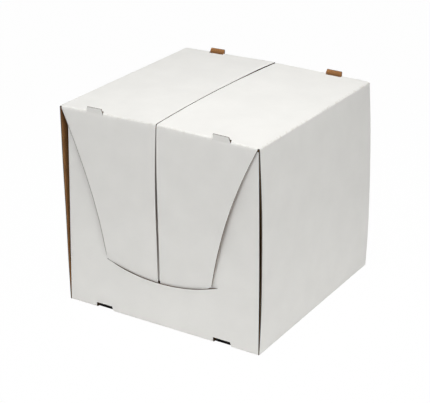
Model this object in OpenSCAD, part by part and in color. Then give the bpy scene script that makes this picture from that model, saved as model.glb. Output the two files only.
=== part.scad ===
// Cake box, folded without glue from one sheet of white-faced micro-flute board.
// The bottom carries four walls. The two side walls run on over the top as half-lids
// that meet along a seam from front to rear. At the front and at the rear each half-lid
// ends in a tongue that hangs outside the end wall and tucks its tip behind it, through
// one long arc slit that the left and right tongues share. Stacking tabs stand up from
// the tongues, and notches at the foot of the end walls take the tabs of a box below.
// +X is the right, -Y is the front, +Z is up, and the origin is in the middle of the base.

/* [Box] */
// Width across the side walls at their creases
box_w = 301; // [260:1:360]
// Depth over the front and rear tongues
box_d = 302; // [240:1:360]
// Height of the top at its side creases
box_h = 282; // [250:1:340]
// How far each side wall bows out at half height
wall_bow = 3; // [0:0.5:6]
// How far the half-lids rise from the side crease to the seam
lid_rise = 2.5; // [0:0.5:6]

/* [Board] */
// Thickness of the board
board_t = 1.5; // [1:0.1:2]
// Outer radius of the creases beside and below the walls
crease_r = 3; // [2.4:0.1:5]
// Air between two layers of board that lie face to face
layer_gap = 0.3; // [0.2:0.05:0.6]

/* [Seam] */
// Offset of the seam from the middle, along the top
seam_x = -2; // [-6:0.5:6]
// Offset of the front seam from the middle, at the tongues' tips
seam_low_x = -4.2; // [-8:0.2:8]
// Width of the seam along the top and at the crease
seam_gap = 0.8; // [0.5:0.1:2]
// Width of the seam between the tongues' tips
seam_low_gap = 1.8; // [0.5:0.1:3]

/* [End walls] */
// How much narrower an end wall is at its top, on each side
wall_taper = 7.3; // [2:0.1:12]
// How far the top of the front wall leans to the right
wall_lean = 4.2; // [0:0.1:6]
// Air beside the foot of an end wall, to the side wall
foot_gap = 0.4; // [0.3:0.1:2]

/* [Tongue lock] */
// Height of the slit's lowest point above the table
slit_low = 63; // [45:1:90]
// Height of the slit's arc centre above the top
slit_rise = 20; // [0:1:60]
// Height of the open slit below the tongue
slit_gap = 0.8; // [0.4:0.1:2]
// Air between the slit's end and the tongue, where the tongue starts to slope in
slit_end = 0.5; // [0.4:0.1:4]
// Half the width of the two tongues together, where they enter the slit
tip_w = 82; // [65:1:95]
// How far the tip reaches down behind the end wall
tuck_l = 22; // [12:1:35]
// How much the tip narrows on its outer side, down to its end
tip_cut = 26; // [10:1:40]
// Length over which the tongue slopes in to the slit
slope_l = 14; // [10:1:20]
// How deep the outer edge of a tongue is hollowed
edge_hollow = 8.4; // [0:0.1:14]

/* [Stacking tabs and notches] */
// Distance of the tabs and notches from the middle
tab_x = 95; // [60:1:110]
// Length of a tab at its base
tab_w = 25; // [16:0.5:34]
// Height of a tab
tab_h = 6.5; // [4:0.5:10]
// How much the slanted end of a tab or notch leans
tab_slant = 2.3; // [0:0.1:5]
// Air around a tab inside its hole
tab_gap = 0.5; // [0.3:0.1:1]
// Length of a notch at its foot
notch_w = 27; // [18:0.5:36]
// Height of a notch in the end wall
notch_h = 7.3; // [5:0.1:10]
// Depth of a notch in the bottom, from the outside of the end wall
notch_in = 5.5; // [4.5:0.1:8]

/* [Hidden] */

board_color = [0.93, 0.93, 0.92];
tongue_color = [0.9, 0.9, 0.89];

// Segments of a crease and of a long bowed line, and of a full circle
crease_n = 6;
bow_n = 16;
$fn = 240;

// Overlap of shapes that are joined, and how far cuts run past a face
join = 1;
past = 2;
// Air between the mitred faces of a tongue's crease
mitre_gap = 0.05;

half_w = box_w / 2;
half_d = box_d / 2;
// Outer face of the front wall, one layer behind the tongue's outer face
wall_y = -half_d + board_t + layer_gap;
// Top edge of the end walls, below the half-lids
wall_top = box_h - board_t - 2 * layer_gap;
foot_w = half_w - board_t - foot_gap;

// The half-lid starts where its side crease ends, and is tilted from there
lid_tilt = atan(lid_rise / (half_w - crease_r));
crease_x = half_w - crease_r + crease_r * sin(lid_tilt);
crease_z = box_h - crease_r + crease_r * cos(lid_tilt);

// The slit is an arc about a point above the top, and the tongues bend along it
slit_z = box_h + slit_rise;
slit_r = slit_z - slit_low;
slope_r = slit_r - slope_l;
end_r = slit_r + tuck_l;
edge_l = norm([half_w - tip_w, box_h - slit_low]);
edge_slope = (half_w - tip_w) / (box_h - slit_low) - 4 * edge_hollow / edge_l;
slit_half = tip_w + abs(seam_low_x) + slope_l * max(edge_slope, 0) + slit_end;
// The tip lies one layer behind the wall, and the upper lip one layer behind the tip
step_in = 2 * (board_t + layer_gap);

tab_hole = sqrt(tab_h * tab_h + board_t * board_t) + tab_gap;

// Points of a circular arc, from angle a0 to a1
function arc(cx, cy, r, a0, a1) = [
    for (i = [0:crease_n])
        let (a = a0 + (a1 - a0) * i / crease_n)
        [cx + r * cos(a), cy + r * sin(a)]
];

// Points between p and q along a shallow bow, to the left of the way for a positive sag
function bowed(p, q, sag) =
    let (d = q - p, side = [-d[1], d[0]] / norm(d))
    [for (i = [1:bow_n - 1]) let (u = i / bow_n) p + d * u + side * 4 * sag * u * (1 - u)];

function reversed(list) = [for (i = [len(list) - 1:-1:0]) list[i]];

function mirrored(list) = [for (p = list) [-p[0], p[1]]];

// Height of the slit's arc of radius r at the distance x from the middle
function arc_z(x, r) = slit_z - sqrt(r * r - x * x);

// Height of the top of a half-lid, x from the middle towards the side of that half-lid
function lid_z(x) = crease_z + (crease_x - x) * tan(lid_tilt);

// Cross-section of one side, at the depth t in the board, from the bottom to the seam at x
function side_line(t, x) =
    let (
        low = [half_w - crease_r, crease_r],
        high = [half_w - crease_r, box_h - crease_r],
        lid = [crease_x, crease_z] - t * [sin(lid_tilt), cos(lid_tilt)]
    )
    concat(
        arc(low[0], low[1], crease_r - t, -90, 0),
        bowed([half_w - t, low[1]], [half_w - t, high[1]], -wall_bow),
        arc(high[0], high[1], crease_r - t, 0, 90 - lid_tilt),
        [[x, lid[1] + (lid[0] - x) * tan(lid_tilt)]]
    );

// Cross-section of the belt: half-lid, side wall, bottom, side wall, half-lid
module belt_section() {
    right_x = seam_x + seam_gap / 2;
    left_x = seam_gap / 2 - seam_x;
    polygon(concat(
        reversed(mirrored(side_line(0, left_x))),
        side_line(0, right_x),
        reversed(side_line(board_t, right_x)),
        mirrored(side_line(board_t, left_x))
    ));
}

// Cross-section of one half-lid alone, from its side crease to the seam
module half_lid_section(side) {
    edge_x = side * seam_x + seam_gap / 2;
    low = [sin(lid_tilt), cos(lid_tilt)] * board_t;
    points = [
        [crease_x, crease_z],
        [edge_x, lid_z(edge_x)],
        [edge_x, lid_z(edge_x) - board_t / cos(lid_tilt)],
        [crease_x - low[0], crease_z - low[1]],
    ];
    polygon(side > 0 ? points : mirrored(points));
}

// Stands a drawing up across the box, from y onwards
module upright(y, depth) {
    translate([0, y + depth, 0])
        rotate([90, 0, 0])
            linear_extrude(depth)
                children();
}

// Lays a shape on the half-lid: x runs along its crease, y inwards from the front crease
module on_lid(side) {
    translate([side * crease_x, -half_d, crease_z])
        rotate([0, side * lid_tilt, 0])
            children();
}

// Repeats a front shape for the rear, turned half round
module both_ends() {
    for (turn = [0, 180])
        rotate([0, 0, turn])
            children();
}

// Outline of a tab or notch with one slanted end, on its base line, grown by a margin
module tab_outline(middle, width, height, margin) {
    left = middle - width / 2 - margin;
    right = middle + width / 2 + margin;
    polygon([
        [left, -board_t - join],
        [right, -board_t - join],
        [right, 0],
        [right - tab_slant * height / tab_h, height],
        [left, height],
    ]);
}

// Prism along the crease whose long face is the mitre: it lies below that face, or above it
module mitre(z, below) {
    far = board_t + past;
    rotate([90, 0, 90])
        translate([0, z, -box_w])
            linear_extrude(2 * box_w)
                polygon([[-past, past], [far, -far], below ? [-past, -far] : [far, past]]);
}

module half_lid_ends() {
    for (side = [-1, 1])
        difference() {
            upright(-half_d, box_d)
                half_lid_section(side);
            on_lid(side)
                mitre(0, true);
            rotate([0, 0, 180])
                on_lid(-side)
                    mitre(0, true);
        }
}

// Hole that a tab leaves in the half-lid, with room for the tab to swing through
module tab_holes() {
    both_ends()
        for (side = [-1, 1])
            on_lid(side)
                translate([0, 0, -board_t - past])
                    linear_extrude(board_t + 2 * past)
                        tab_outline(side * (tab_x - crease_x), tab_w, tab_hole, tab_gap);
}

// The bottom, both side walls and both half-lids, bent as one belt
module belt() {
    difference() {
        union() {
            upright(wall_y, -2 * wall_y)
                belt_section();
            half_lid_ends();
        }
        tab_holes();
        both_ends()
            translate([-foot_w, wall_y - past, -past])
                cube([2 * foot_w, crease_r + past, crease_r + past]);
    }
}

// Outline of an end wall: narrower at the top, which leans sideways
module end_wall_outline(lean) {
    polygon([
        [-foot_w, -join],
        [foot_w, -join],
        [foot_w, crease_r],
        [foot_w - wall_taper + lean, wall_top],
        [-foot_w + wall_taper + lean, wall_top],
        [-foot_w, crease_r],
    ]);
}

// Sheet of an end wall with the crease that joins it to the bottom
module end_wall_sheet() {
    arc_y = wall_y + crease_r;
    section = concat(
        [[arc_y + join, 0]],
        arc(arc_y, crease_r, crease_r, 270, 180),
        [[wall_y, wall_top], [wall_y + board_t, wall_top]],
        arc(arc_y, crease_r, crease_r - board_t, 180, 270),
        [[arc_y + join, board_t]]
    );
    rotate([90, 0, 90])
        translate([0, 0, -half_w])
            linear_extrude(box_w)
                polygon(section);
}

// Ring about the slit's arc centre, from radius r0 to r1, no wider than the slit
module slit_band(r0, r1) {
    intersection() {
        translate([0, slit_z])
            difference() {
                circle(r1);
                circle(r0);
            }
        translate([-slit_half, 0])
            square([2 * slit_half, slit_z]);
    }
}

// Sheet bent about the slit's arc centre: flat at y, then sloping in, then flat again
module bent_sheet(y) {
    outside = [[0, 0], [slope_r, 0], [slit_r, -step_in], [end_r, -step_in]];
    translate([0, y, slit_z])
        rotate([90, 0, 0])
            rotate_extrude()
                polygon(concat(outside, [for (p = reversed(outside)) p - [0, board_t]]));
}

// Upper lip of the slit, pressed in by the tongue that runs down in front of it
module pressed_lip() {
    intersection() {
        bent_sheet(wall_y);
        upright(wall_y - past, board_t + step_in + 2 * past)
            slit_band(slope_r - join, slit_r);
    }
}

// Front wall with its slit and notches
module end_wall(lean) {
    difference() {
        union() {
            difference() {
                intersection() {
                    end_wall_sheet();
                    upright(-half_d, half_d)
                        end_wall_outline(lean);
                }
                upright(wall_y - past, board_t + 2 * past)
                    slit_band(slope_r, slit_r + slit_gap);
            }
            pressed_lip();
        }
        end_notches();
    }
}

module end_notches() {
    upright(wall_y - past, notch_in + past)
        for (side = [-1, 1])
            tab_outline(side * tab_x, notch_w, notch_h, 0);
}

// Bottom, side walls, half-lids and end walls: one sheet without its tongues
module carton() {
    color(board_color) {
        difference() {
            belt();
            both_ends()
                end_notches();
        }
        end_wall(wall_lean);
        rotate([0, 0, 180])
            end_wall(0);
    }
}

// Outline of a front tongue, from its crease down to its hidden tip
module tongue_outline(side, top_x, low_x) {
    top = top_x + side * seam_gap / 2;
    low = low_x + side * seam_low_gap / 2;
    outer = low_x + side * tip_w;
    tip = outer - side * tip_cut;
    shoulder = [side * crease_x, crease_z];
    entry = [outer, arc_z(outer, slit_r + slit_gap)];
    polygon(concat(
        [shoulder],
        bowed(shoulder, entry, -side * edge_hollow),
        [
            entry,
            [tip, arc_z(tip, end_r) - join],
            [tip, arc_z(0, end_r) - join],
            [low, arc_z(0, end_r) - join],
            [top, lid_z(side * top)],
        ]
    ));
}

// Tongue of a front half-lid, with its stacking tab
module tongue(side, top_x, low_x) {
    tab_middle = side * (tab_x - crease_x);
    color(tongue_color) {
        difference() {
            intersection() {
                bent_sheet(-half_d);
                upright(-half_d - join, board_t + step_in + 2 * join)
                    tongue_outline(side, top_x, low_x);
            }
            on_lid(side)
                mitre(-mitre_gap, false);
        }
        on_lid(side)
            upright(0, board_t)
                tab_outline(tab_middle, tab_w, tab_h, 0);
    }
}

module front_left_tongue() {
    tongue(-1, seam_x, seam_low_x);
}

module front_right_tongue() {
    tongue(1, seam_x, seam_low_x);
}

module rear_left_tongue() {
    rotate([0, 0, 180])
        tongue(1, -seam_x, -seam_x);
}

module rear_right_tongue() {
    rotate([0, 0, 180])
        tongue(-1, -seam_x, -seam_x);
}

carton();
front_left_tongue();
front_right_tongue();
rear_left_tongue();
rear_right_tongue();
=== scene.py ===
"""Dresses the frame of a folded cake box.

The box is one sheet of micro-flute board, white outside and brown kraft inside and on
its cut edges. Each panel is a grid of points on its outer face, worked out with numpy,
and board_mesh() gives it the board's thickness and its raw rim. X is the box's right,
-Y its front and +Z up, in metres.
"""

import math

import bpy
import numpy as np
from bpy.props import FloatProperty, FloatVectorProperty, PointerProperty
from mathutils import Matrix, Vector


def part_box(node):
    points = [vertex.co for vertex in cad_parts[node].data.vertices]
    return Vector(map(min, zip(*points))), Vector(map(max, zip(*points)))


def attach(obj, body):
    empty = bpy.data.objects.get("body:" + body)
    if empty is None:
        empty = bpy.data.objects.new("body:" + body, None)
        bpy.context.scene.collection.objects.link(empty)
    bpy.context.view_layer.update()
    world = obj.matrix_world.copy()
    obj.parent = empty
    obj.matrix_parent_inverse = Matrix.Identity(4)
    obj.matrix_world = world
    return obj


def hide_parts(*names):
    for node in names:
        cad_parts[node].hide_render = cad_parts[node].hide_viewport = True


bl_info = {
    "name": "Cake Box",
    "version": (1, 0, 0),
    "blender": (4, 5, 0),
    "location": "View3D > Sidebar > Cake Box",
    "description": "Builds the folded board of a cake box and its studio",
    "category": "Object",
}

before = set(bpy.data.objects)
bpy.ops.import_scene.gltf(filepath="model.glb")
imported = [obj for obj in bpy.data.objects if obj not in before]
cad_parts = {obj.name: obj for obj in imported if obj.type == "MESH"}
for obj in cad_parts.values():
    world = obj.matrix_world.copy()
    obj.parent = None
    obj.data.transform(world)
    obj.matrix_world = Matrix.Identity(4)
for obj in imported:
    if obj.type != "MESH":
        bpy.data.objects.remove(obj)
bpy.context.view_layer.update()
CARTON_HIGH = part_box("carton")[1]

# Photograph's frame, which the camera's focal length in pixels refers to
PHOTO_WIDTH = 430
SENSOR_WIDTH = 36.0

# Kinds of panel along the belt's cross-section
BOTTOM, BOTTOM_CREASE, WALL, TOP_CREASE, LID = range(5)

# Stands in for columns that a search is to pass over
AWAY = 9.0

# Stations round a crease, and the grids' longest steps in metres
TURNS = 8
BELT_STEP = 0.006
LID_STEP = 0.005
NOTCH_STEP = 0.0022
TONGUE_STEP = 0.004

# Longest step across an end wall, as a share of its half width
WALL_STEP = 0.025

# Share of the height above the slit over which walls and tongues have closer rows
SLOPE_SHARE = 0.09

# Lengths in metres over which the shapes beside the slit fade
SLIT_TIGHT = 0.008  # At each end of the slit, where it stays nearly shut
SLIT_OPENING = 0.03  # From there to its full height
LIP_WAY = 0.035  # From an end to the lip's full push
LIP_REACH = 0.010  # Up and down from the slit, for the lip's push
PRESS_WAY = 0.008  # Along the slit, for the press on the wall
PRESS_PAST = 0.001  # How far the press starts past an end
SLIT_LEAST = 0.1  # Share of its opening that the slit keeps at its ends

# Half widths of the wear at the side creases, above the tongues and at the foot
SIDE_WEAR = 0.004
END_WEAR = 0.0016
FOOT_WEAR = 0.003


def length(name, description, default):
    """A size in metres with its name and what it is."""
    return FloatProperty(name=name, description=description, default=default, unit="LENGTH", precision=5)


def shift(name, description, default):
    """A displacement in metres."""
    return FloatVectorProperty(
        name=name, description=description, default=default, subtype="TRANSLATION", precision=5
    )


def color(name, description, default):
    """A linear RGB colour."""
    return FloatVectorProperty(
        name=name, description=description, default=default, subtype="COLOR", min=0, max=1
    )


def number(name, description, default):
    """A plain number, such as a share or an angle in degrees."""
    return FloatProperty(name=name, description=description, default=default)


def power(name, description, default):
    """A lamp's power in watts."""
    return FloatProperty(name=name, description=description, default=default, unit="POWER")


class BoardSettings(bpy.types.PropertyGroup):
    """The sheet that the box is folded from."""

    thickness: length("Thickness", "Thickness of the board", 0.0015)
    layer_gap: length("Layer Gap", "Air between two layers that lie face to face", 0.0003)
    side_crease: length("Side Crease", "Outer radius of the creases beside and below the walls", 0.003)
    front_crease: length("Front Crease", "Outer radius of the creases above the tongues", 0.0026)
    flute_pitch: length("Flute Pitch", "Distance between two flutes inside the board", 0.0033)
    waver: length("Waver", "How far the panels wander from flat", 0.00022)
    white: color("White", "Clay-coated outer face", (0.80, 0.792, 0.763))
    kraft: color("Kraft", "Brown inner face", (0.50, 0.232, 0.083))
    # Raw Edge colour: the board's own cut-edge tone, darkened and greyed further as painted shade of the gaps
    # beside the cut edges
    edge: color("Raw Edge", "Cut edge of the board", (0.125, 0.103, 0.082))


class BoxSettings(bpy.types.PropertyGroup):
    """Main sizes of the folded box."""

    half_width: length("Half Width", "From the middle to a side wall's creases", 0.1505)
    half_depth: length("Half Depth", "From the middle to a tongue's outer face", CARTON_HIGH.y)
    height: length("Height", "Top of the box at its side creases", 0.282)
    rise: length("Rise", "How far the half-lids rise to the seam", CARTON_HIGH.z - 0.282)
    bulge: length("Bulge", "How much further the seam bulges in the middle of the top", 0.0037)
    seam_step: length("Seam Step", "How far the left half-lid stands above the right at the rear", 0.0008)
    left_bow: length("Left Bow", "How far the left side wall bows out", 0.0004)
    right_bow: length("Right Bow", "How far the right side wall bows out", 0.0039)
    seam_x: length("Seam Place", "Offset of the seam along the top", 0.0025)
    seam_gap: length("Seam Gap", "Width of the seam along the top in front", 0.0013)
    rear_seam_gap: length("Rear Seam Gap", "Width of the seam along the top at the rear", 0.0028)
    undercut: length("Undercut", "How far the crushed edges at the seams lean back", 0.0010)
    foot_half: length("Foot", "Half the width of an end wall at its foot", 0.1487)
    top_air: length("Top Air", "How far the end walls end below the top", 0.0050)
    taper: length("Taper", "How far the rear wall's edges stand in at its top", 0.0073)
    front_left_taper: length("Front Left Taper", "How far the front wall's left edge leans in", 0.0115)
    front_right_bulge: length("Front Right Bulge", "How far the front wall's right edge bulges out", 0.0009)
    front_left_top: shift("Front Left Top", "Drift of the top's front left corner", (0.0002, 0.0008, 0.0013))
    front_right_top: shift(
        "Front Right Top", "Drift of the top's front right corner", (-0.0006, -0.0002, 0.0003)
    )
    rear_left_top: shift("Rear Left Top", "Drift of the top's rear left corner", (-0.0003, 0.0, 0.0005))
    rear_right_top: shift(
        "Rear Right Top", "Drift of the top's rear right corner", (-0.0008, -0.0011, -0.0020)
    )
    rear_right_foot: shift(
        "Rear Right Foot", "Drift of the bottom's rear right corner", (0.0022, 0.0034, 0.0)
    )


class LockSettings(bpy.types.PropertyGroup):
    """Tongues, slit, tabs and notches."""

    slit_low: length("Slit Height", "Lowest point of the slit", 0.0663)
    slit_centre: length("Slit Centre", "Height of the slit's arc centre", 0.320)
    slit_left: length("Slit Left End", "Reach of the slit to the left of the middle", 0.0845)
    slit_right: length("Slit Right End", "Reach of the slit to the right of the middle", 0.089)
    slit_gap: length("Slit Gap", "Height of the slit's opening in its middle", 0.0024)
    lip_push: length("Lip Push", "How far the slit's lower lip is pushed out", 0.0020)
    slope: length("Slope", "Length above the slit over which a tongue slopes in", 0.015)
    low_slope: length("Low Slope", "Length below the slit over which a tip slopes further in", 0.013)
    tuck_shift: number("Tuck Shift", "How far a tongue runs to the left for each metre it slopes in", 0.62)
    dent: length("Dent", "How far the end walls sink in behind the tongues", 0.004)
    tuck: length("Tuck", "How far a tip reaches down behind the wall", 0.022)
    lift: length("Lift", "How far the tongues bow off the wall between crease and slit", 0.0015)
    tip_half: length("Tip", "Half the width of the two tongues at the slit", 0.08195)
    tip_cut: length("Tip Cut", "How much a tip narrows to its end", 0.026)
    left_shoulder: length("Left Shoulder", "Reach of a tongue to the left at its crease", 0.1474)
    right_shoulder: length("Right Shoulder", "Reach of a tongue to the right at its crease", 0.1491)
    entry_slope: number("Entry Slope", "Lean of a tongue's outer edge where it enters the slit", 0.155)
    left_entry_slope: number("Left Entry Slope", "The same for the tongue on the left", 0.135)
    tip_shift: length("Tip Shift", "How far the two tips sit to the left at the slit", 0.00115)
    edge_lean: length("Edge Lean", "How far the left tongue's outer cut edge is crushed aslant", 0.0020)
    seam_top: length("Seam Top", "Offset of the front seam at the crease", 0.0026)
    seam_low: length("Seam Low", "Offset of the front seam at the slit", 0.0001)
    seam_fall: length("Seam Fall", "Drop over which the front seam drifts aside", 0.058)
    seam_open: length("Seam Opening", "Width of the front seam in its lower part", 0.0033)
    seam_open_drop: length("Seam Opening Drop", "Drop over which the front seam opens", 0.120)
    tab_x: length("Tab Place", "Distance of the tabs from the middle", 0.0955)
    tab_width: length("Tab Width", "Length of a tab at its base", 0.025)
    front_tab_shift: length("Front Tab Shift", "Offset of both front tabs and their holes", 0.0027)
    tab_height: length("Tab Height", "Height of a front tab", 0.0054)
    rear_tab_height: length("Rear Tab Height", "Height of a rear tab", 0.0058)
    tab_slant: length("Tab Slant", "Lean of a tab's slanted end", 0.0023)
    tab_air: length("Tab Air", "Air around a tab in its hole", 0.0004)
    hole_depth: length("Hole Depth", "Depth of a tab's hole from the crease", 0.0072)
    notch_x: length("Notch Place", "Distance of the notches from the middle", 0.0933)
    front_notch_shift: length("Front Notch Shift", "Offset of both front notches", 0.0021)
    notch_width: length("Notch Width", "Length of a notch at its foot", 0.0282)
    notch_height: length("Notch Height", "Height of a notch in the end wall", 0.0076)
    notch_depth: length("Notch Depth", "How far a notch runs on into the bottom", 0.0145)
    notch_slant: length("Notch Slant", "Lean of a notch's slanted end", 0.0026)


class StudioSettings(bpy.types.PropertyGroup):
    """Floor, lamps and camera."""

    azimuth: number("Azimuth", "Camera's turn to the right of the front", 32.181)
    elevation: number("Elevation", "Camera's height angle", 23.643)
    roll: number("Roll", "Camera's roll", -0.541)
    distance: length("Distance", "From the middle of the box to the camera", 1.759073)
    target_height: length("Target Height", "Height of the point that the camera turns about", 0.140)
    shift_right: length("Shift Right", "Camera's offset to its own right", -0.006315)
    shift_up: length("Shift Up", "Camera's offset along its own up", -0.014259)
    focal_px: number("Focal Length", "Focal length in the photograph's pixels", 1283.216)
    floor: color("Floor", "Pale floor", (0.86, 0.86, 0.86))
    # The floor under the box is painted near black: painted shade, seen through the notches and gaps
    dark_half: length("Dark Floor", "Half the width of the floor's dark patch under the box", 0.144)
    floor_white: number("Floor White", "Share of plain white in the floor", 0.985)
    world_level: number("World", "Strength of the light from all sides", 0.283)
    top_power: power("Top Lamp", "Power of the lamp above", 4.5)
    front_power: power("Front Lamp", "Power of the lamp in front", 3.6)
    low_front_power: power("Low Front Lamp", "Power of the long low lamp in front", 2.9)
    low_right_power: power("Low Right Lamp", "Power of the long low lamp on the right", 4.8)


class CakeBoxSettings(bpy.types.PropertyGroup):
    """All settings of the scene."""

    board: PointerProperty(type=BoardSettings)
    box: PointerProperty(type=BoxSettings)
    lock: PointerProperty(type=LockSettings)
    studio: PointerProperty(type=StudioSettings)


def settings():
    """The scene's own settings."""
    return bpy.context.scene.cake_box


def smooth(t):
    """Smooth step: 3t² - 2t³, held at 0 before 0 and at 1 after 1."""
    t = np.clip(t, 0.0, 1.0)
    return t * t * (3.0 - 2.0 * t)


def spaced(stops, step):
    """Positions from the first stop to the last through every stop, at most one step apart."""
    stops = np.asarray(stops, float)
    runs = [
        np.linspace(a, b, max(int(math.ceil(abs(b - a) / step - 1e-6)), 1), endpoint=False)
        for a, b in zip(stops, stops[1:])
    ]
    return np.concatenate(runs + [stops[-1:]])


def near(values, place):
    """Index of the value that lies nearest to a place."""
    return int(np.argmin(np.abs(values - place)))


def waver(a, b, seed):
    """Slow unevenness of a panel: three crossed sine waves of 90 to 260 mm, about 1 high."""
    wave = np.sin(24.0 * a + 2.1 * seed + 1.7 * np.sin(17.0 * b + seed))
    wave += 0.7 * np.sin(41.0 * b - 1.3 * seed + 1.1 * np.sin(29.0 * a - seed))
    return 0.5 * (wave + 0.5 * np.sin(67.0 * (a + 0.6 * b) + 3.0 * seed))


def settled(points):
    """The box as it stands folded by hand, a little out of square.

    Each point moves by its corners' drifts, weighted by (1 ± x / w)(1 ± y / d)(z / h) over the box.
    """
    box = settings().box
    across = (points[..., 0:1] / box.half_width + 1) / 2
    along = (points[..., 1:2] / box.half_depth + 1) / 2
    up = np.clip(points[..., 2:3] / box.height, 0, 1)
    top = (1 - along) * ((1 - across) * np.array(box.front_left_top) + across * np.array(box.front_right_top))
    top = top + along * ((1 - across) * np.array(box.rear_left_top) + across * np.array(box.rear_right_top))
    return points + up * top + (1 - up) * along * across * np.array(box.rear_right_foot)


# Materials


def new_material(name):
    """Node material with a Principled shader, and its node tree."""
    material = bpy.data.materials.new(name)
    material.use_nodes = True
    tree = material.node_tree
    return material, tree, tree.nodes["Principled BSDF"]


def add_node(tree, kind, inputs=None, **values):
    """Adds a node, sets its properties and fills its inputs with constants or links."""
    node = tree.nodes.new(kind)
    for key, value in values.items():
        setattr(node, key, value)
    for key, value in (inputs or {}).items():
        if isinstance(value, bpy.types.NodeSocket):
            tree.links.new(value, node.inputs[key])
        else:
            node.inputs[key].default_value = value
    return node


def noise(tree, vector, scale, detail=3.0, roughness=0.5):
    """Factor of a noise texture on the given coordinates."""
    inputs = {"Vector": vector, "Scale": scale, "Detail": detail, "Roughness": roughness}
    return add_node(tree, "ShaderNodeTexNoise", inputs).outputs["Fac"]


def stretch(tree, vector, scale):
    """The coordinates scaled by a vector."""
    return add_node(tree, "ShaderNodeMapping", {"Vector": vector, "Scale": scale}).outputs["Vector"]


def span(tree, value, low, high, to_low=0.0, to_high=1.0):
    """Maps a value from one range to another, held at the ends."""
    inputs = {"Value": value, "From Min": low, "From Max": high, "To Min": to_low, "To Max": to_high}
    return add_node(tree, "ShaderNodeMapRange", inputs).outputs["Result"]


def mix(tree, factor, first, second):
    """Mixes two colours."""
    node = add_node(tree, "ShaderNodeMix", data_type="RGBA")
    for index, value in ((0, factor), (6, first), (7, second)):
        if isinstance(value, bpy.types.NodeSocket):
            tree.links.new(value, node.inputs[index])
        elif index == 0:
            node.inputs[index].default_value = value
        else:
            node.inputs[index].default_value = (*value[:3], 1.0)
    return node.outputs[2]


def math_node(tree, operation, first, second=0.0):
    """One arithmetic step."""
    return add_node(tree, "ShaderNodeMath", {0: first, 1: second}, operation=operation).outputs[0]


def sheet_coordinates(tree):
    """The sheet's own flat coordinates in metres: along the flutes and across them."""
    return add_node(tree, "ShaderNodeUVMap", uv_map="Sheet").outputs["UV"]


def flute_wave(tree, flat, pitch):
    """Sine of the place across the flutes, one wave a pitch."""
    across = add_node(tree, "ShaderNodeSeparateXYZ", {"Vector": flat}).outputs["X"]
    return math_node(tree, "SINE", math_node(tree, "MULTIPLY", across, 2.0 * math.pi / pitch))


def white_face():
    """Clay-coated white liner: faint mottle, a few grey fibres, worn creases, flutes just showing through."""
    board = settings().board
    material, tree, shader = new_material("white_face")
    flat = sheet_coordinates(tree)
    place = add_node(tree, "ShaderNodeTexCoord").outputs["Object"]
    cloud = span(tree, noise(tree, place, 26.0, 4.0), 0.35, 0.7)
    tone = mix(tree, cloud, tuple(0.965 * c for c in board.white), board.white)
    grain = span(tree, noise(tree, place, 1500.0, 2.0), 0.42, 0.68)
    tone = mix(tree, math_node(tree, "MULTIPLY", grain, 0.05), tone, (0.55, 0.54, 0.52))
    fibres = noise(tree, stretch(tree, flat, (900.0, 160.0, 1.0)), 1.0, 2.0)
    fibres = span(tree, fibres, 0.735, 0.775, 0.0, 0.16)
    tone = mix(tree, fibres, tone, (0.42, 0.38, 0.33))
    worn = add_node(tree, "ShaderNodeAttribute", attribute_name="wear").outputs["Fac"]
    patches = span(tree, noise(tree, place, 210.0, 4.0, 0.65), 0.45, 0.72)
    tone = mix(tree, math_node(tree, "MULTIPLY", worn, patches), tone, (0.50, 0.45, 0.38))
    tree.links.new(tone, shader.inputs["Base Color"])
    shader.inputs["Roughness"].default_value = 0.62
    shader.inputs["Specular IOR Level"].default_value = 0.32
    flutes = flute_wave(tree, flat, board.flute_pitch)
    fine = noise(tree, place, 900.0, 3.0)
    relief = math_node(tree, "ADD", math_node(tree, "MULTIPLY", flutes, 0.5), fine)
    bump = add_node(tree, "ShaderNodeBump", {"Height": relief, "Strength": 0.12, "Distance": 0.0001})
    tree.links.new(bump.outputs["Normal"], shader.inputs["Normal"])
    return material


def kraft_face():
    """Brown kraft liner: long fibres, speckles and the flutes' washboard."""
    board = settings().board
    material, tree, shader = new_material("kraft_face")
    flat = sheet_coordinates(tree)
    place = add_node(tree, "ShaderNodeTexCoord").outputs["Object"]
    cloud = span(tree, noise(tree, place, 40.0, 4.0), 0.3, 0.7)
    tone = mix(tree, cloud, tuple(0.85 * c for c in board.kraft), tuple(1.1 * c for c in board.kraft))
    fibres = noise(tree, stretch(tree, flat, (1500.0, 220.0, 1.0)), 1.0, 3.0)
    tone = mix(tree, span(tree, fibres, 0.5, 0.75, 0.0, 0.45), tone, (0.54, 0.29, 0.14))
    specks = span(tree, noise(tree, place, 1100.0, 1.0), 0.68, 0.74, 0.0, 0.6)
    tone = mix(tree, specks, tone, (0.12, 0.065, 0.035))
    flutes = flute_wave(tree, flat, board.flute_pitch)
    tone = mix(tree, span(tree, flutes, -1.0, 1.0, 0.0, 0.10), tone, (0.16, 0.09, 0.05))
    tree.links.new(tone, shader.inputs["Base Color"])
    shader.inputs["Roughness"].default_value = 0.85
    shader.inputs["Specular IOR Level"].default_value = 0.25
    bump = add_node(tree, "ShaderNodeBump", {"Height": flutes, "Strength": 0.35, "Distance": 0.0001})
    tree.links.new(bump.outputs["Normal"], shader.inputs["Normal"])
    return material


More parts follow.
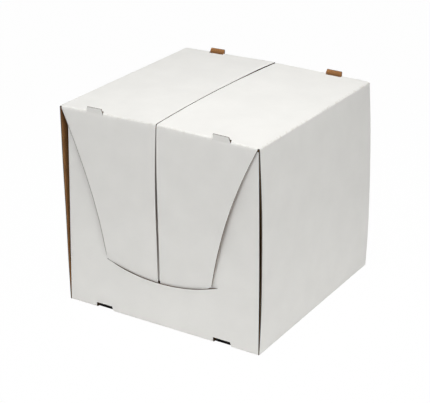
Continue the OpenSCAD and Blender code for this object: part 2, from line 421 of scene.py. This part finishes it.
def raw_edge_and_painted_shade():
    """Cut edge: two liners with the fluted sheet waving between them, with painted shade in the flutes'
    hollows.
    """
    board = settings().board
    material, tree, shader = new_material("raw_edge_and_painted_shade")
    flat = sheet_coordinates(tree)
    place = add_node(tree, "ShaderNodeTexCoord").outputs["Object"]
    parts = add_node(tree, "ShaderNodeSeparateXYZ", {"Vector": flat})
    depth = math_node(tree, "DIVIDE", parts.outputs["Y"], board.thickness)
    wave = math_node(tree, "MULTIPLY", flute_wave(tree, flat, board.flute_pitch), 0.30)
    from_middle = math_node(tree, "SUBTRACT", depth, 0.5)
    off_wave = math_node(tree, "ABSOLUTE", math_node(tree, "SUBTRACT", from_middle, wave))
    # Painted shade: the hollows of the flutes between the liners are darkened as the shade inside them
    painted_hollow_shade = span(tree, off_wave, 0.10, 0.16)
    inside = math_node(tree, "ABSOLUTE", from_middle)
    painted_hollow_shade = math_node(tree, "MULTIPLY", painted_hollow_shade, span(tree, inside, 0.36, 0.33))
    fuzz = span(tree, noise(tree, place, 1400.0, 3.0), 0.3, 0.7, 0.75, 1.25)
    # The edge colour holds the board's own tone with painted shade of the gaps beside the cut edges
    tone = mix(tree, math_node(tree, "MULTIPLY", painted_hollow_shade, 0.72), board.edge, (0.07, 0.04, 0.022))
    coated = span(tree, depth, 0.12, 0.06)
    tone = mix(tree, coated, tone, tuple(0.8 * c for c in board.white))
    bright = add_node(tree, "ShaderNodeHueSaturation", {"Color": tone, "Value": fuzz})
    tree.links.new(bright.outputs["Color"], shader.inputs["Base Color"])
    shader.inputs["Roughness"].default_value = 0.92
    shader.inputs["Specular IOR Level"].default_value = 0.2
    return material


def board_materials():
    """White face, kraft face and raw edge, made once and shared by all panels."""
    makers = (white_face, kraft_face, raw_edge_and_painted_shade)
    return [bpy.data.materials.get(maker.__name__) or maker() for maker in makers]


# Sheets of board


def board_mesh(name, outer, keep, flat, wear, undercut, rear=False):
    """A closed sheet of board from a grid of points on its outer face.

    outer is rows × columns × 3, keep says which cells are board, flat is rows × columns × 2 in metres on
    the unfolded sheet, and wear is 0 to 1. Each inner point is its outer point moved in by the thickness
    along the mean normal of the kept cells around it and along X by undercut, and a rim joins the two faces
    wherever a kept cell has no neighbour. A rear sheet is drawn as if in front and turned half round here.
    """
    thickness = settings().board.thickness
    if rear:
        outer = outer * np.array([-1.0, -1.0, 1.0])
        undercut = -undercut
    outer = settled(outer)
    rows, columns = outer.shape[:2]
    index = np.arange(rows * columns).reshape(rows, columns)
    corner = [index[:-1, :-1], index[:-1, 1:], index[1:, 1:], index[1:, :-1]]
    face = np.stack([c[keep] for c in corner], axis=1)
    points = outer.reshape(-1, 3)
    cell_normal = np.cross(points[face[:, 2]] - points[face[:, 0]], points[face[:, 3]] - points[face[:, 1]])
    normal = np.zeros_like(points)
    np.add.at(normal, face.ravel(), np.repeat(cell_normal, 4, axis=0))
    normal /= np.maximum(np.linalg.norm(normal, axis=1, keepdims=True), 1e-12)
    back = rows * columns
    aside = np.zeros_like(points)
    aside[:, 0] = undercut.ravel()
    points = np.concatenate([points, points - normal * thickness + aside])

    padded = np.pad(keep, 1)
    beside = [padded[:-2, 1:-1], padded[1:-1, 2:], padded[2:, 1:-1], padded[1:-1, :-2]]
    rims = []
    for side in range(4):
        bare = keep & ~beside[side]
        first, second = corner[side][bare], corner[(side + 1) % 4][bare]
        rims.append(np.stack([second, first, first + back, second + back], axis=1))
    rim = np.concatenate(rims)

    flat_points = flat.reshape(-1, 2)
    along_rows = np.concatenate([np.full(len(r), side % 2) for side, r in enumerate(rims)])
    which = np.arange(len(rim))[:, None], np.arange(4)[None, :], along_rows[:, None]
    rim_along = flat_points[rim % back][which]
    rim_flat = np.stack([rim_along, np.where(rim >= back, thickness, 0.0)], axis=2)
    faces = np.concatenate([face, face[:, ::-1] + back, rim])
    corner_flat = np.concatenate([flat_points[face], flat_points[face[:, ::-1]], rim_flat])
    material_index = np.repeat([0, 1, 2], [len(face), len(face), len(rim)])

    used, inverse = np.unique(faces, return_inverse=True)
    mesh = bpy.data.meshes.new(name)
    mesh.vertices.add(len(used))
    mesh.vertices.foreach_set("co", points[used].ravel())
    mesh.loops.add(faces.size)
    mesh.loops.foreach_set("vertex_index", inverse.ravel().astype(np.int32))
    mesh.polygons.add(len(faces))
    mesh.polygons.foreach_set("loop_start", np.arange(0, faces.size, 4, dtype=np.int32))
    for material in board_materials():
        mesh.materials.append(material)
    mesh.polygons.foreach_set("material_index", material_index.astype(np.int32))
    mesh.update(calc_edges=True)
    uv_map = mesh.uv_layers.new(name="Sheet")
    uv_map.data.foreach_set("uv", corner_flat.ravel())
    worn = mesh.attributes.new("wear", "FLOAT", "POINT")
    worn.data.foreach_set("value", np.tile(wear.ravel(), 2)[used])
    mesh.shade_smooth()
    mesh.set_sharp_from_angle(angle=math.radians(40))
    if mesh.validate():
        raise RuntimeError(f"{name} has faults in its mesh")
    piece = bpy.data.objects.new(name, mesh)
    bpy.context.scene.collection.objects.link(piece)
    return piece


def lid_rise(side, x, y):
    """Height of a half-lid above its side crease at (x, y).

    It grows in proportion to the way from the side crease to the seam. The seam bulges further in the middle
    of the top, by a crown of 1 - |y / d|^2.5, and towards the rear the left half stands a little above the
    right, by a smooth step from y = -20 to 100 mm. Both grow with the power 1.6 of the way.
    """
    box = settings().box
    start = box.half_width - settings().board.side_crease
    way = np.clip((start - side * x) / start, 0.0, 1.1)
    crown = 1.0 - np.minimum(np.abs(y / box.half_depth), 1.0) ** 2.5
    step = -0.5 * side * box.seam_step * smooth((y + 0.02) / 0.12)
    return way * box.rise + way**1.6 * (box.bulge * crown + step)


def top_gap(y):
    """Width of the seam along the top at y: it opens by a smooth step from y = 20 to 110 mm."""
    box = settings().box
    return box.seam_gap + (box.rear_seam_gap - box.seam_gap) * smooth((y - 0.02) / 0.09)


def notch_span():
    """Where a notch starts and ends, counted from the middle."""
    lock = settings().lock
    return lock.notch_x - lock.notch_width / 2, lock.notch_x + lock.notch_width / 2


def hole_span():
    """The same for a tab's hole."""
    lock = settings().lock
    return lock.tab_x - lock.tab_width / 2 - lock.tab_air, lock.tab_x + lock.tab_width / 2 + lock.tab_air


def half_section(side):
    """Stations of one half of the belt's cross-section, from the middle of the bottom up to the seam.

    Returns x, z, the kind of panel and the way along the board. Creases are quarter circles, and a wall bows
    out as 4u(1 - u).
    """
    box = settings().box
    r = settings().board.side_crease
    flat_end = box.half_width - r
    seam = side * box.seam_x + box.seam_gap / 2

    bottom = spaced([0.0, *notch_span(), flat_end], BELT_STEP)
    turn = np.radians(np.linspace(0, 90, TURNS)[1:-1])
    up = spaced([r, box.height - r], BELT_STEP)
    lid = spaced([flat_end, *hole_span()[::-1], seam], LID_STEP)
    most = box.right_bow if side > 0 else box.left_bow
    bow = most * 4 * (up - r) * (box.height - r - up) / (box.height - 2 * r) ** 2
    runs_x = [bottom, flat_end + r * np.sin(turn), box.half_width + bow, flat_end + r * np.cos(turn), lid]
    top_z = np.full(len(lid), box.height)
    runs_z = [0 * bottom, r - r * np.cos(turn), up, box.height - r + r * np.sin(turn), top_z]
    x, z = np.concatenate(runs_x), np.concatenate(runs_z)
    kind = np.repeat([BOTTOM, BOTTOM_CREASE, WALL, TOP_CREASE, LID], [len(run) for run in runs_x])
    way = np.concatenate([[0.0], np.cumsum(np.hypot(np.diff(x), np.diff(z)))])
    return side * x, z, kind, way


def belt_grid():
    """Grid of the belt: half-lid, side wall, bottom, side wall, half-lid, from the rear to the front.

    A column's rows run from its rear end to its front end. On a half-lid the end is a mitre half-way round
    the crease, on a wall it is the raw edge, and on the bottom it is where the end wall's crease starts. The
    first and last block of rows reach as far in as the tab holes and notches, whose cells are left out. In
    front the holes and notches are shifted, and the shift fades out to the middle and to the side creases.
    """
    board, box, lock = settings().board, settings().box, settings().lock
    left, right = half_section(-1), half_section(1)
    x = np.concatenate([left[0][::-1], right[0][1:]])
    z = np.concatenate([left[1][::-1], right[1][1:]])
    kind = np.concatenate([left[2][::-1], right[2][1:]])
    way = np.concatenate([-left[3][::-1], right[3][1:]])
    side = np.sign(x)

    crease = board.front_crease
    line = box.half_depth - lock.hole_depth
    wall_end = box.half_depth - board.thickness - board.layer_gap
    arc = crease * math.pi / 4
    # Half-lids and bottom end in creases, which run out just before the side creases
    from_wall = box.half_width - 0.25 * board.side_crease - np.abs(x)
    on_lid = np.where(kind >= TOP_CREASE, smooth(from_wall / (0.6 * board.side_crease)), 0.0)
    on_floor = np.where(kind <= BOTTOM_CREASE, smooth(from_wall / 0.0015), 0.0)
    plain_end = wall_end - board.side_crease * on_floor

    near_crease = 0.3
    block = np.concatenate([np.linspace(0, near_crease, TURNS), np.linspace(near_crease, 1, 5)[1:]])
    middle = spaced([line, -line], BELT_STEP)[1:-1]
    q = block[:, None] * (arc + (box.half_depth - crease - line))
    angle = np.maximum(math.pi / 4 - q / crease, 0.0)
    lid_y = box.half_depth - crease + crease * np.sin(angle) - np.maximum(q - arc, 0.0)
    drop = crease * (1 - np.cos(angle))
    plain_line = line - (lock.notch_depth - lock.hole_depth) * on_floor
    plain_y = plain_end[None, :] + (plain_line[None, :] - plain_end[None, :]) * block[:, None]
    end_y = plain_y + (lid_y - plain_y) * on_lid[None, :]
    end_drop = drop * on_lid[None, :]

    columns = len(x)
    y = np.concatenate([end_y, middle[:, None] * (plain_line / line)[None, :], -end_y[::-1]])
    dip = np.concatenate([end_drop, np.zeros((len(middle), columns)), end_drop[::-1]])

    # A hole's slanted end is at the right in front and at the left behind
    slant = lock.tab_slant * lock.hole_depth / lock.tab_height
    hole = hole_span()
    lid_x = np.where(kind == LID, x, AWAY)
    hole_left = [near(lid_x, -hole[1]), near(lid_x, hole[0])]
    hole_right = [near(lid_x, -hole[0]), near(lid_x, hole[1])]
    reach = np.clip((box.half_depth - np.abs(y)) / lock.hole_depth, 0.0, 1.0)
    back = np.clip((y + line) / (2 * line), 0.0, 1.0)
    grid_x = np.repeat(x[None, :], len(y), axis=0)
    for column in hole_right:
        grid_x[:, column] -= slant * reach[:, column] * (1 - back[:, column])
    for column in hole_left:
        grid_x[:, column] += slant * reach[:, column] * back[:, column]

    side_way, middle_way = 0.036, 0.06
    to_side = smooth((box.half_width - np.abs(x)) / side_way)
    to_middle = smooth(np.abs(x) / middle_way)
    tab_share = np.where(kind == LID, np.where(np.abs(x) > middle_way, to_side, to_middle), 0.0)
    grid_x += lock.front_tab_shift * (1 - back) * tab_share
    grid_x += lock.front_notch_shift * (1 - back) * np.where(kind == BOTTOM, to_side * to_middle, 0.0)
    grid_x[:, [0, -1]] += np.array([-0.5, 0.5]) * (top_gap(y[:, :1]) - box.seam_gap)

    # The wavers fade out over 30 to 50 mm before the creases
    lift = np.where(kind >= TOP_CREASE, lid_rise(side[None, :], grid_x, y), 0.0)
    wall = (kind == WALL)[None, :] * (side * board.waver)[None, :] * waver(y, z[None, :], 1.0)
    wall *= smooth(z / 0.05) * smooth((box.height - z) / 0.05)
    lid = (kind == LID)[None, :] * board.waver * waver(grid_x, y, 2.0)
    lid = lid * smooth((box.half_depth - np.abs(y)) / 0.03)
    lid *= smooth((box.half_width - np.abs(grid_x)) / 0.04)
    outer = np.stack([grid_x + wall, y, z[None, :] + lift + lid - dip], axis=2)

    keep = np.ones((len(y) - 1, columns - 1), bool)
    last = len(block) - 1
    notch = notch_span()
    floor_x = np.where(kind == BOTTOM, x, AWAY)
    cuts = [sorted(pair) for pair in zip(hole_left, hole_right)]
    cuts.append((near(floor_x, notch[0]), near(floor_x, notch[1])))
    cuts.append((near(floor_x, -notch[1]), near(floor_x, -notch[0])))
    for first, second in cuts:
        keep[:last, first:second] = False
        keep[-last:, first:second] = False

    flat = np.stack([np.repeat(way[None, :], len(y), axis=0), y], axis=2)
    side_wear = np.exp(-(((np.abs(x) - box.half_width) / SIDE_WEAR) ** 2))
    side_wear = side_wear * np.isin(kind, (BOTTOM_CREASE, TOP_CREASE))
    worn_y = 0.150
    end_wear = np.exp(-(((np.abs(y) - worn_y) / END_WEAR) ** 2))
    wear = np.maximum(0.55 * side_wear[None, :], 0.4 * on_lid[None, :] * end_wear)
    undercut = np.zeros_like(y)
    undercut[:, 0], undercut[:, -1] = -box.undercut, box.undercut
    return outer, keep, flat, wear, undercut


class CAKEBOX_OT_belt(bpy.types.Operator):
    """Build the bottom, side walls and half-lids, bent as one belt"""

    bl_idname = "cakebox.belt"
    bl_label = "Belt"

    def execute(self, context):
        belt = board_mesh("belt", *belt_grid())
        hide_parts("carton")
        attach(belt, "carton")
        return {"FINISHED"}


def slit_height(x, radius):
    """Height of the arc of a radius about the slit's centre, at x."""
    return settings().lock.slit_centre - np.sqrt(radius**2 - x**2)


def slit_radius():
    """Radius of the slit's arc."""
    lock = settings().lock
    return lock.slit_centre - lock.slit_low


def step_in():
    """Distance of a tucked tip behind its flat part: two boards and two gaps."""
    board = settings().board
    return 2 * (board.thickness + board.layer_gap)


def inward(x, z):
    """How far a tongue, or the lip behind it, is bent in at (x, z): a smooth step across the slit's arc."""
    lock = settings().lock
    radius = np.hypot(x, z - lock.slit_centre)
    return step_in() * smooth((radius - slit_radius() + lock.slope) / (lock.slope + lock.low_slope))


def end_wall_grid(rear):
    """Grid of the front wall, from the bottom panel up round its crease to its top edge.

    Rows bend into the slit's arc, whose own row of cells is left out between the slit's ends. The slit's
    opening narrows to a tenth towards its ends. Above the slit the wall is pressed in with the tongue, less
    so near the slit's ends, and below it the lip is pushed out a little. Behind the tongues the wall sinks
    in by (1 - (x / w)⁴)² 4t(1 - t), with t from the slit to the top.
    """
    board, box, lock = settings().board, settings().box, settings().lock
    r = board.side_crease
    top = box.height - box.top_air
    wall_y = -box.half_depth + board.thickness + board.layer_gap
    radius = slit_radius()

    def edges(z):
        t = np.clip(z / top, 0, 1)
        if rear:
            return box.taper * t - box.foot_half, box.foot_half - box.taper * t
        bulge = box.front_right_bulge * 4 * t * (1 - t)
        return box.front_left_taper * t - box.foot_half, box.foot_half + bulge

    def share(x, z):
        left, right = edges(z)
        return 2 * (x - left) / (right - left) - 1

    def place(z):
        left, right = edges(z)
        return left + (right - left) * (u[None, :] + 1) / 2

    aside = 0.0 if rear else lock.front_notch_shift
    notch = notch_span()
    foot_z = lock.notch_height
    low_stops = [share(aside - notch[1], foot_z), share(aside - notch[0] - lock.notch_slant, foot_z)]
    low_stops += [share(aside + notch[0], foot_z), share(aside + notch[1] - lock.notch_slant, foot_z)]
    slit_stops = [share(end, slit_height(end, radius)) for end in (-lock.slit_left, lock.slit_right)]
    u = spaced(sorted([-1, *low_stops, *slit_stops, 1]), WALL_STEP)

    turn = np.linspace(0, math.pi / 2, TURNS)
    low = spaced([r, foot_z], NOTCH_STEP)[1:]
    to_slit = np.linspace(0, 1, 26)[1:] ** 0.8
    above = np.concatenate([np.linspace(0, SLOPE_SHARE, 22), np.linspace(SLOPE_SHARE, 1, 40)[1:]])
    levels = [np.repeat(rows[:, None], len(u), axis=1) for rows in (r - r * np.cos(turn), low)]
    y_rows = [wall_y + r - r * np.sin(turn), np.full(len(low) + len(to_slit) + len(above), wall_y)]

    typical_x = 0.06  # The arc's height there sets how far its points are spread
    arc_x = place(np.full((1, len(u)), slit_height(typical_x, radius)))
    slit_z = slit_height(arc_x, radius)
    from_end = np.minimum(arc_x + lock.slit_left, lock.slit_right - arc_x)
    ends = smooth(from_end / LIP_WAY)
    lip_z = slit_z - lock.slit_gap
    opened = SLIT_LEAST + (1 - SLIT_LEAST) * smooth((from_end - SLIT_TIGHT) / SLIT_OPENING)
    slit_z = lip_z + lock.slit_gap * opened
    levels.append(foot_z + (lip_z - foot_z) * to_slit[:, None])
    levels.append(slit_z + (top - slit_z) * above[:, None])
    z = np.concatenate(levels)
    y = np.repeat(np.concatenate(y_rows)[:, None], len(u), axis=1)
    x = place(z)

    slit_row = len(turn) + len(low) + len(to_slit) - 1
    foot_rows = len(turn) + len(low) - 1
    slanted = [near(u, low_stops[1]), near(u, low_stops[3])]
    for column in slanted:
        x[:, column] += lock.notch_slant * np.clip(1 - z[:, column] / foot_z, 0, 1)

    upper = np.arange(len(z))[:, None] > slit_row
    fade = smooth((np.minimum(x + lock.slit_left, lock.slit_right - x) + PRESS_PAST) / PRESS_WAY)
    pressed = inward(x, z) * fade
    pushed = -lock.lip_push * np.minimum(fade, ends) * np.exp(-np.abs(z - slit_z) / LIP_REACH)
    slack = board.waver * waver(x, z, 3.0) * smooth(z / 0.05)
    way_up = np.clip((z - slit_z) / (top - slit_z), 0, 1)
    dent = lock.dent * (1 - np.clip(x / box.foot_half, -1, 1) ** 4) ** 2 * 4 * way_up * (1 - way_up)
    y = y + np.where(upper, pressed + dent, pushed) + slack

    keep = np.ones((len(z) - 1, len(u) - 1), bool)
    keep[slit_row, near(u, slit_stops[0]) : near(u, slit_stops[1])] = False
    keep[:foot_rows, near(u, low_stops[0]) : near(u, low_stops[1])] = False
    keep[:foot_rows, near(u, low_stops[2]) : near(u, low_stops[3])] = False
    length_up = np.concatenate([r * turn, r * math.pi / 2 + z[len(turn) :, len(u) // 2] - r])
    flat = np.stack([x, np.repeat(length_up[:, None], len(u), axis=1)], axis=2)
    wear = 0.5 * np.exp(-((z / FOOT_WEAR) ** 2))
    return np.stack([x, y, z], axis=2), keep, flat, wear, np.zeros_like(z)


class CAKEBOX_OT_end_walls(bpy.types.Operator):
    """Build the front and rear walls with their slits and notches"""

    bl_idname = "cakebox.end_walls"
    bl_label = "End Walls"

    def execute(self, context):
        for name, rear in (("front_wall", False), ("rear_wall", True)):
            wall = board_mesh(name, *end_wall_grid(rear), rear=rear)
            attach(wall, "carton")
        return {"FINISHED"}


def seam_edge(side, rear, z):
    """x of a tongue's edge at the seam.

    In front the seam drifts aside as 1 - exp(-drop / fall) and opens by a smooth step, and behind it is
    straight.
    """
    box, lock = settings().box, settings().lock
    if rear:
        return np.full_like(z, -box.seam_x) + side * box.rear_seam_gap / 2
    drop = np.maximum(box.height + box.rise - z, 0.0)
    middle = lock.seam_top + (lock.seam_low - lock.seam_top) * (1 - np.exp(-drop / lock.seam_fall))
    width = box.seam_gap + (lock.seam_open - box.seam_gap) * smooth(drop / lock.seam_open_drop)
    return middle + side * width / 2 - lock.tuck_shift * inward(middle, z)


def outer_edge(side, rear, z):
    """x of a tongue's outer edge: a parabola of the height above the slit, from the shoulder to the tip.

    The two sides enter the slit at slopes of their own, and both tips sit a little to the left.
    """
    box, lock = settings().box, settings().lock
    entry = slit_height(lock.tip_half, slit_radius())
    rise = box.height - entry
    d = z - entry
    shoulder = lock.right_shoulder if side > 0 else lock.left_shoulder
    slope = lock.entry_slope if side > 0 else lock.left_entry_slope
    tip = lock.tip_half - side * lock.tip_shift
    curve = (shoulder - tip - slope * rise) / rise**2
    above = tip + slope * d + curve * d**2
    below = tip + lock.tip_cut * np.minimum(d, 0.0) / lock.tuck
    edge = side * np.where(d > 0, above, below)
    return edge if rear else edge - lock.tuck_shift * inward(edge, z)


def tongue_grid(side, rear):
    """Grid of a front tongue, from the end of its tip up to its crease, and of its tab.

    Rows lie along the slit's arc below and along the crease above. Beside the tab the last rows bend back
    half-way round the crease to the mitre, and the tab's columns run straight on up to its top.
    """
    board, box, lock = settings().board, settings().box, settings().lock
    radius, crease = slit_radius(), board.front_crease
    flip = -1 if rear else 1

    def top_at(x):
        return box.height + lid_rise(flip * side, flip * x, np.full_like(x, -flip * box.half_depth))

    tab_middle = side * lock.tab_x + (0.0 if rear else lock.front_tab_shift)
    tab = [tab_middle - lock.tab_width / 2, tab_middle + lock.tab_width / 2]
    tab_height = lock.rear_tab_height if rear else lock.tab_height
    shoulder = lock.right_shoulder if side > 0 else lock.left_shoulder
    ends = np.array([float(seam_edge(side, rear, np.array(box.height))), side * shoulder])
    left, right = ends.min(), ends.max()
    cut = 0.0002  # Width of the cut at each end of the tab
    base_x = spaced([left, tab[0] - cut, tab[0], tab[1], tab[1] + cut, right], TONGUE_STEP)
    share = (base_x - left) / (right - left)
    columns = len(base_x)

    tip = np.linspace(0, 1, 12)
    body = np.concatenate([np.linspace(0, SLOPE_SHARE, 26)[1:], np.linspace(SLOPE_SHARE, 1, 44)[1:]])
    arc = np.radians(np.linspace(0, 45, TURNS)[1:])
    tab_rows = np.array([0.35, 0.7, 1.0])

    # The rows' heights depend on x and x on the heights, so both settle in a few rounds
    x = np.repeat(base_x[None, :], len(tip) + len(body), axis=0)
    for _ in range(6):
        end_z, slit_z, top_z = slit_height(x, radius + lock.tuck), slit_height(x, radius), top_at(x) - crease
        z_tip = end_z[: len(tip)] + (slit_z - end_z)[: len(tip)] * tip[:, None]
        z_body = slit_z[len(tip) :] + (top_z - slit_z)[len(tip) :] * body[:, None]
        z = np.concatenate([z_tip, z_body])
        seam, edge = seam_edge(side, rear, z), outer_edge(side, rear, z)
        low, high = (seam, edge) if side > 0 else (edge, seam)
        x = low + (high - low) * share[None, :]
    y = -box.half_depth + inward(x, z) + board.waver * waver(x, z, 3.0) * smooth((box.height - z) / 0.06)
    low_z = slit_height(x, radius)
    rise = np.clip((z - low_z) / (top_at(x) - low_z), 0.0, 1.0) ** 1.5
    y -= lock.lift * 4 * rise * (1 - rise)

    top_x = x[-1]
    tab_left, tab_right = near(base_x, tab[0]), near(base_x, tab[1])
    on_tab = (np.arange(columns) >= tab_left) & (np.arange(columns) <= tab_right)
    top = top_at(top_x)
    climb = np.where(on_tab, (arc / arc[-1])[:, None], np.sin(arc)[:, None])
    bend_z = (top - crease)[None, :] + crease * climb
    bend_y = -box.half_depth + crease * np.where(on_tab, 0.0, 1 - np.cos(arc)[:, None])
    up_z = top[None, :] + tab_height * tab_rows[:, None]
    up_x = np.repeat(top_x[None, :], len(tab_rows), axis=0)
    up_x[:, tab_right] -= lock.tab_slant * tab_rows
    bend_x = np.repeat(top_x[None, :], len(arc), axis=0)

    x = np.concatenate([x, bend_x, up_x])
    z = np.concatenate([z, bend_z, up_z])
    y = np.concatenate([y, bend_y, np.full_like(up_z, -box.half_depth)])

    keep = np.ones((len(z) - 1, columns - 1), bool)
    first_bend = len(tip) + len(body) - 1
    keep[first_bend:, tab_left - 1] = False
    keep[first_bend:, tab_right] = False
    keep[first_bend + len(arc) :, :tab_left] = False
    keep[first_bend + len(arc) :, tab_right:] = False

    flat = np.stack([x, z - box.height], axis=2)
    wear = 0.4 * np.exp(-(((z - (top_at(x) - 0.001)) / END_WEAR) ** 2)) * ~on_tab[None, :]
    undercut = np.zeros_like(z)
    undercut[: first_bend + 1, 0 if side > 0 else -1] = side * box.undercut
    if side < 0:
        undercut[: first_bend + 1, 0] = -lock.edge_lean
    return np.stack([x, y, z], axis=2), keep, flat, wear, undercut


class CAKEBOX_OT_tongues(bpy.types.Operator):
    """Build the four tongues with their stacking tabs"""

    bl_idname = "cakebox.tongues"
    bl_label = "Tongues"

    def execute(self, context):
        for name, side, rear in (
            ("front_left_tongue", -1, False),
            ("front_right_tongue", 1, False),
            ("rear_left_tongue", 1, True),
            ("rear_right_tongue", -1, True),
        ):
            piece = board_mesh(name + "_board", *tongue_grid(side, rear), rear=rear)
            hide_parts(name)
            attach(piece, name)
        return {"FINISHED"}


# Studio


def area_lamp(name, place, aim, size, power, spread=180.0):
    """Soft rectangular lamp at a place, turned to aim at a point, with its light's spread in degrees."""
    data = bpy.data.lights.new(name, "AREA")
    data.shape = "RECTANGLE"
    data.size, data.size_y = size
    data.energy = power
    data.spread = math.radians(spread)
    lamp = bpy.data.objects.new(name, data)
    lamp.location = place
    lamp.rotation_euler = (Vector(aim) - Vector(place)).to_track_quat("-Z", "Y").to_euler()
    bpy.context.scene.collection.objects.link(lamp)
    return lamp


def floor_material(tone, white, half):
    """Pale floor that the camera sees as near white, with a faint shadow, and painted near black under the
    box as shade.
    """
    material, tree, shader = new_material("floor")
    place = add_node(tree, "ShaderNodeTexCoord").outputs["Object"]
    parts = add_node(tree, "ShaderNodeSeparateXYZ", {"Vector": place})
    across, along = (math_node(tree, "ABSOLUTE", parts.outputs[axis]) for axis in "XY")
    clear_of_painted_shade = math_node(tree, "GREATER_THAN", math_node(tree, "MAXIMUM", across, along), half)
    # Painted shade: inside the box's footprint the floor is coloured near black, and the camera sees it lit
    # there, not white
    tree.links.new(mix(tree, clear_of_painted_shade, (0.03, 0.03, 0.03), tone), shader.inputs["Base Color"])
    shader.inputs["Roughness"].default_value = 0.9
    glow = add_node(tree, "ShaderNodeEmission", {"Color": (1.0, 1.0, 1.0, 1.0), "Strength": 1.0})
    path = add_node(tree, "ShaderNodeLightPath")
    seen = math_node(tree, "MULTIPLY", path.outputs["Is Camera Ray"], white)
    seen = math_node(tree, "MULTIPLY", seen, clear_of_painted_shade)
    parts = {0: seen, 1: shader.outputs["BSDF"], 2: glow.outputs["Emission"]}
    surface = add_node(tree, "ShaderNodeMixShader", parts).outputs["Shader"]
    tree.links.new(surface, tree.nodes["Material Output"].inputs["Surface"])
    return material


def studio_world(level):
    """World that lights evenly, and is white to the camera and through glass."""
    world = bpy.data.worlds.new("studio")
    world.use_nodes = True
    tree = world.node_tree
    path = add_node(tree, "ShaderNodeLightPath")
    seen = math_node(tree, "MAXIMUM", path.outputs["Is Camera Ray"], path.outputs["Is Transmission Ray"])
    strength = span(tree, seen, 0.0, 1.0, level, 1.0)
    tree.links.new(strength, tree.nodes["Background"].inputs["Strength"])
    tree.nodes["Background"].inputs["Color"].default_value = (1.0, 1.0, 1.0, 1.0)
    return world


class CAKEBOX_OT_studio(bpy.types.Operator):
    """Set the camera, the floor and the lamps"""

    bl_idname = "cakebox.studio"
    bl_label = "Studio"

    def execute(self, context):
        studio = settings().studio
        az, el, roll = (math.radians(v) for v in (studio.azimuth, studio.elevation, studio.roll))
        back = Vector((math.sin(az) * math.cos(el), -math.cos(az) * math.cos(el), math.sin(el)))
        level = Vector((math.cos(az), math.sin(az), 0.0))
        upright = back.cross(level)
        right = math.cos(roll) * level + math.sin(roll) * upright
        up = math.cos(roll) * upright - math.sin(roll) * level

        data = bpy.data.cameras.new("camera")
        data.sensor_width = SENSOR_WIDTH
        data.lens = studio.focal_px / PHOTO_WIDTH * SENSOR_WIDTH
        camera = bpy.data.objects.new("camera", data)
        turn = Matrix((right, up, back)).transposed()
        place = Vector((0, 0, studio.target_height)) + back * studio.distance
        place += right * studio.shift_right + up * studio.shift_up
        camera.matrix_world = Matrix.Translation(place) @ turn.to_4x4()
        context.scene.collection.objects.link(camera)
        context.scene.camera = camera

        mesh = bpy.data.meshes.new("floor")
        reach = 12.0
        corners = [(-reach, -reach, 0), (reach, -reach, 0), (reach, reach, 0), (-reach, reach, 0)]
        mesh.from_pydata(corners, [], [(0, 1, 2, 3)])
        mesh.materials.append(floor_material(studio.floor, studio.floor_white, studio.dark_half))
        floor = bpy.data.objects.new("floor", mesh)
        context.scene.collection.objects.link(floor)

        context.scene.world = studio_world(studio.world_level)
        area_lamp("top_lamp", (0.3, -0.3, 1.7), (0.05, -0.05, 0.0), (1.0, 1.0), studio.top_power, 70.0)
        area_lamp("front_lamp", (-0.6, -2.0, 0.9), (0.0, 0.0, 0.1), (1.5, 1.5), studio.front_power)
        area_lamp("low_front_lamp", (-0.7, -1.5, 0.22), (0.0, 0.0, 0.05), (1.6, 0.4), studio.low_front_power)
        area_lamp("low_right_lamp", (1.6, -0.5, 0.22), (0.0, 0.0, 0.05), (1.6, 0.4), studio.low_right_power)
        context.scene.view_settings.view_transform = "Standard"
        return {"FINISHED"}


class CAKEBOX_PT_panel(bpy.types.Panel):
    """Lists the settings and the steps in the sidebar"""

    bl_label = "Cake Box"
    bl_idname = "CAKEBOX_PT_panel"
    bl_space_type = "VIEW_3D"
    bl_region_type = "UI"
    bl_category = "Cake Box"

    def draw(self, context):
        for operator in OPERATORS:
            self.layout.operator(operator.bl_idname)
        for group in (settings().board, settings().box, settings().lock, settings().studio):
            column = self.layout.box().column()
            for name in group.__annotations__:
                column.prop(group, name)


GROUPS = (BoardSettings, BoxSettings, LockSettings, StudioSettings, CakeBoxSettings)
OPERATORS = (CAKEBOX_OT_studio, CAKEBOX_OT_belt, CAKEBOX_OT_end_walls, CAKEBOX_OT_tongues)


def register():
    """Registers the classes and hangs the settings on the scene."""
    for item in (*GROUPS, *OPERATORS, CAKEBOX_PT_panel):
        bpy.utils.register_class(item)
    bpy.types.Scene.cake_box = PointerProperty(type=CakeBoxSettings)


def unregister():
    """Takes the settings and the classes away again."""
    del bpy.types.Scene.cake_box
    for item in reversed((*GROUPS, *OPERATORS, CAKEBOX_PT_panel)):
        bpy.utils.unregister_class(item)


def main():
    register()
    bpy.ops.cakebox.studio()
    bpy.ops.cakebox.belt()
    bpy.ops.cakebox.end_walls()
    bpy.ops.cakebox.tongues()


if __name__ == "__main__":
    main()
